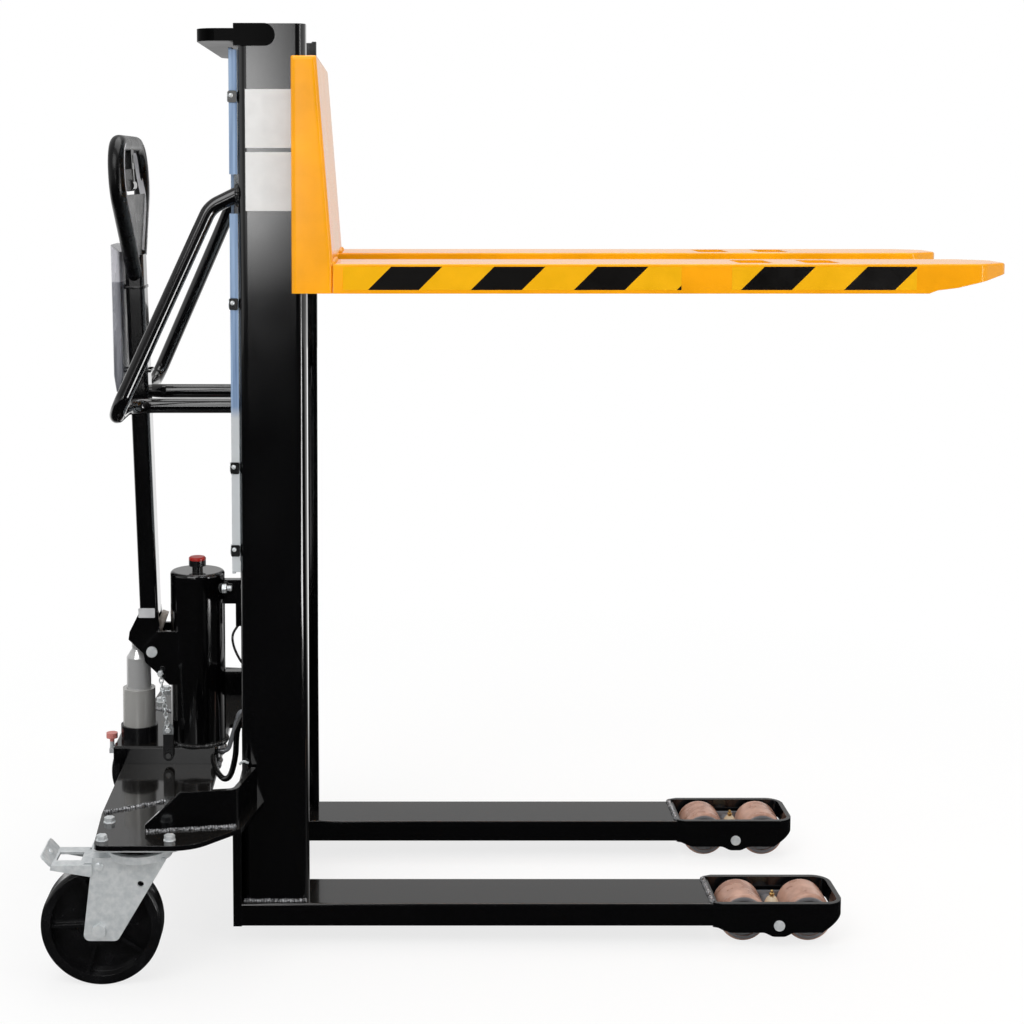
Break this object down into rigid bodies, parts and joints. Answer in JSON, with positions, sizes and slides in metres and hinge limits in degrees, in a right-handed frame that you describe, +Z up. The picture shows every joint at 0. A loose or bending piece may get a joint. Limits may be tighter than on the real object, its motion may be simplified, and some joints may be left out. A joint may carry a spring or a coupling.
{
  "type": "manual pallet stacker",
  "caption": "Hand hydraulic pallet stacker: black channel mast on straddle legs, yellow fork carriage lifted by chains, foot-braked swivel casters and a swinging pump handle.",
  "frame": {"origin": "on the floor, midway along the truck and on its middle plane", "axes": "+X along the forks towards their tips, +Y to the truck's left, +Z up"},
  "size_m": [1.54, 0.882, 1.508],
  "materials": {
    "black_paint": "gloss",
    "yellow_paint": "gloss",
    "clear_panel": "gloss",
    "zinc_plate": "satin",
    "polished_steel": "polished",
    "roller_steel": "satin",
    "chain_steel": "oiled",
    "roller_plastic": "satin",
    "wheel_plastic": "gloss",
    "black_plastic": "satin",
    "red_plastic": "satin"
  },
  "bodies": {
    "mast": {"mast_post_right": "black_paint", "mast_post_left": "black_paint", "mast_head": "black_paint", "mast_cross_bars": "black_paint", "rear_cross_plate": "black_paint", "straddle_leg_right": "black_paint", "straddle_leg_left": "black_paint", "roller_frame_right": "black_paint", "roller_frame_left": "black_paint", "base_plate": "black_paint", "caster_wing_right": "black_paint", "caster_wing_left": "black_paint", "wing_ribs": "black_paint", "push_handle_right": "black_paint", "push_handle_left": "black_paint", "guard_panel": "clear_panel", "guard_bolts": "zinc_plate", "lift_cylinder": "black_paint", "pump_block": "black_paint", "oil_tank": "black_paint", "filler_cap": "black_plastic", "handle_bracket": "black_paint", "pump_cylinder": "polished_steel", "pump_stays": "black_paint", "pressure_pipe": "roller_steel", "block_valve": "red_plastic", "bogie_pins": "zinc_plate", "chain_fixed_strands": "chain_steel", "caster_top_plates": "zinc_plate", "caster_bolts": "zinc_plate", "handle_pivot_pin": "zinc_plate"},
    "rod": {"piston_rod": "polished_steel", "rod_crosshead": "black_paint", "chain_lift_strands": "chain_steel"},
    "carriage": {"carriage_frame": "yellow_paint", "fork_right": "yellow_paint", "fork_left": "yellow_paint"},
    "chain_pulley_right": {"chain_pulley_right": "roller_steel"},
    "chain_pulley_left": {"chain_pulley_left": "roller_steel"},
    "guide_roller_lower_right": {"guide_roller_lower_right": "roller_steel"},
    "guide_roller_upper_right": {"guide_roller_upper_right": "roller_steel"},
    "guide_roller_lower_left": {"guide_roller_lower_left": "roller_steel"},
    "guide_roller_upper_left": {"guide_roller_upper_left": "roller_steel"},
    "bogie_right": {"bogie_right": "roller_steel"},
    "load_roller_rear_right": {"load_roller_rear_right": "roller_plastic"},
    "load_roller_front_right": {"load_roller_front_right": "roller_plastic"},
    "bogie_left": {"bogie_left": "roller_steel"},
    "load_roller_rear_left": {"load_roller_rear_left": "roller_plastic"},
    "load_roller_front_left": {"load_roller_front_left": "roller_plastic"},
    "caster_right": {"caster_yoke_right": "zinc_plate"},
    "caster_wheel_right": {"caster_wheel_right": "wheel_plastic"},
    "caster_left": {"caster_yoke_left": "zinc_plate"},
    "caster_wheel_left": {"caster_wheel_left": "wheel_plastic"},
    "brake_pedal": {"brake_pedal": "zinc_plate"},
    "pump_handle": {"pump_handle": "black_paint", "grip_loop": "black_paint"},
    "press_roller": {"press_roller": "roller_steel"},
    "pump_piston": {"pump_piston": "polished_steel"},
    "control_lever": {"control_lever": "black_paint"},
    "release_lever": {"release_lever": "black_paint"}
  },
  "joints": [
    {"name": "rod_lift", "type": "slide", "parent": "mast", "child": "rod", "axis": [0, 0, 1], "range_m": [-0.52, 0], "deforming": ["chain_fixed_strands"]},
    {"name": "carriage_lift", "type": "slide", "parent": "rod", "child": "carriage", "axis": [0, 0, 1], "range_m": [-0.52, 0], "deforming": ["chain_lift_strands"]},
    {"name": "pulley_turn_right", "type": "hinge", "parent": "rod", "child": "chain_pulley_right", "pos_m": [-0.407, -0.06, 1.44], "axis": [0, 1, 0], "continuous": true},
    {"name": "pulley_turn_left", "type": "hinge", "parent": "rod", "child": "chain_pulley_left", "pos_m": [-0.407, 0.06, 1.44], "axis": [0, 1, 0], "continuous": true},
    {"name": "guide_roller_turn_lower_right", "type": "hinge", "parent": "carriage", "child": "guide_roller_lower_right", "pos_m": [-0.412, -0.216, 1.175], "axis": [0, 1, 0], "continuous": true},
    {"name": "guide_roller_turn_upper_right", "type": "hinge", "parent": "carriage", "child": "guide_roller_upper_right", "pos_m": [-0.412, -0.216, 1.405], "axis": [0, 1, 0], "continuous": true},
    {"name": "guide_roller_turn_lower_left", "type": "hinge", "parent": "carriage", "child": "guide_roller_lower_left", "pos_m": [-0.412, 0.216, 1.175], "axis": [0, 1, 0], "continuous": true},
    {"name": "guide_roller_turn_upper_left", "type": "hinge", "parent": "carriage", "child": "guide_roller_upper_left", "pos_m": [-0.412, 0.216, 1.405], "axis": [0, 1, 0], "continuous": true},
    {"name": "bogie_rock_right", "type": "hinge", "parent": "mast", "child": "bogie_right", "pos_m": [0.418, -0.195, 0.038], "axis": [0, 1, 0], "range_deg": [-4, 4]},
    {"name": "load_roller_turn_rear_right", "type": "hinge", "parent": "bogie_right", "child": "load_roller_rear_right", "pos_m": [0.364, -0.195, 0.04], "axis": [0, 1, 0], "continuous": true},
    {"name": "load_roller_turn_front_right", "type": "hinge", "parent": "bogie_right", "child": "load_roller_front_right", "pos_m": [0.472, -0.195, 0.04], "axis": [0, 1, 0], "continuous": true},
    {"name": "bogie_rock_left", "type": "hinge", "parent": "mast", "child": "bogie_left", "pos_m": [0.418, 0.195, 0.038], "axis": [0, 1, 0], "range_deg": [-4, 4]},
    {"name": "load_roller_turn_rear_left", "type": "hinge", "parent": "bogie_left", "child": "load_roller_rear_left", "pos_m": [0.364, 0.195, 0.04], "axis": [0, 1, 0], "continuous": true},
    {"name": "load_roller_turn_front_left", "type": "hinge", "parent": "bogie_left", "child": "load_roller_front_left", "pos_m": [0.472, 0.195, 0.04], "axis": [0, 1, 0], "continuous": true},
    {"name": "caster_swivel_right", "type": "hinge", "parent": "mast", "child": "caster_right", "pos_m": [-0.617, -0.376, 0.2], "axis": [0, 0, 1], "continuous": true},
    {"name": "caster_wheel_turn_right", "type": "hinge", "parent": "caster_right", "child": "caster_wheel_right", "pos_m": [-0.676, -0.376, 0.095], "axis": [0, 1, 0], "continuous": true},
    {"name": "caster_swivel_left", "type": "hinge", "parent": "mast", "child": "caster_left", "pos_m": [-0.617, 0.376, 0.2], "axis": [0, 0, 1], "continuous": true},
    {"name": "caster_wheel_turn_left", "type": "hinge", "parent": "caster_left", "child": "caster_wheel_left", "pos_m": [-0.676, 0.376, 0.095], "axis": [0, 1, 0], "continuous": true},
    {"name": "brake_press", "type": "hinge", "parent": "caster_right", "child": "brake_pedal", "pos_m": [-0.676, -0.376, 0.1965], "axis": [0, -1, 0], "range_deg": [0, 8]},
    {"name": "handle_swing", "type": "hinge", "parent": "mast", "child": "pump_handle", "pos_m": [-0.638, 0, 0.439], "axis": [0, -1, 0], "range_deg": [0, 45], "stiffness_Nm_per_rad": 90, "springref_deg": -5.73},
    {"name": "press_roller_turn", "type": "hinge", "parent": "pump_handle", "child": "press_roller", "pos_m": [-0.662, 0, 0.462], "axis": [0, 1, 0], "continuous": true},
    {"name": "pump_stroke", "type": "slide", "parent": "mast", "child": "pump_piston", "axis": [0, 0, 1], "range_m": [-0.024, 0]},
    {"name": "control_tilt", "type": "hinge", "parent": "pump_handle", "child": "control_lever", "pos_m": [-0.67322, 0, 1.28525], "axis": [0, 1, 0], "range_deg": [-15, 15], "stiffness_Nm_per_rad": 2.5},
    {"name": "release_turn", "type": "hinge", "parent": "mast", "child": "release_lever", "pos_m": [-0.609, -0.0493, 0.258], "axis": [0, 1, 0], "range_deg": [-12, 12]}
  ],
  "couplings": [
    {"joint": "rod_lift", "follows": "carriage_lift", "ratio": 1},
    {"joint": "pulley_turn_right", "follows": "carriage_lift", "rad_per_m": -23.256},
    {"joint": "pulley_turn_left", "follows": "carriage_lift", "rad_per_m": -23.256},
    {"joint": "guide_roller_turn_lower_right", "follows": "carriage_lift", "rad_per_m": -43.011},
    {"joint": "guide_roller_turn_upper_right", "follows": "carriage_lift", "rad_per_m": 43.011},
    {"joint": "guide_roller_turn_lower_left", "follows": "carriage_lift", "rad_per_m": -43.011},
    {"joint": "guide_roller_turn_upper_left", "follows": "carriage_lift", "rad_per_m": 43.011},
    {"joint": "pump_stroke", "follows": "handle_swing", "m_per_rad": -0.0303},
    {"joint": "release_turn", "follows": "control_tilt", "ratio": 0.8}
  ]
}
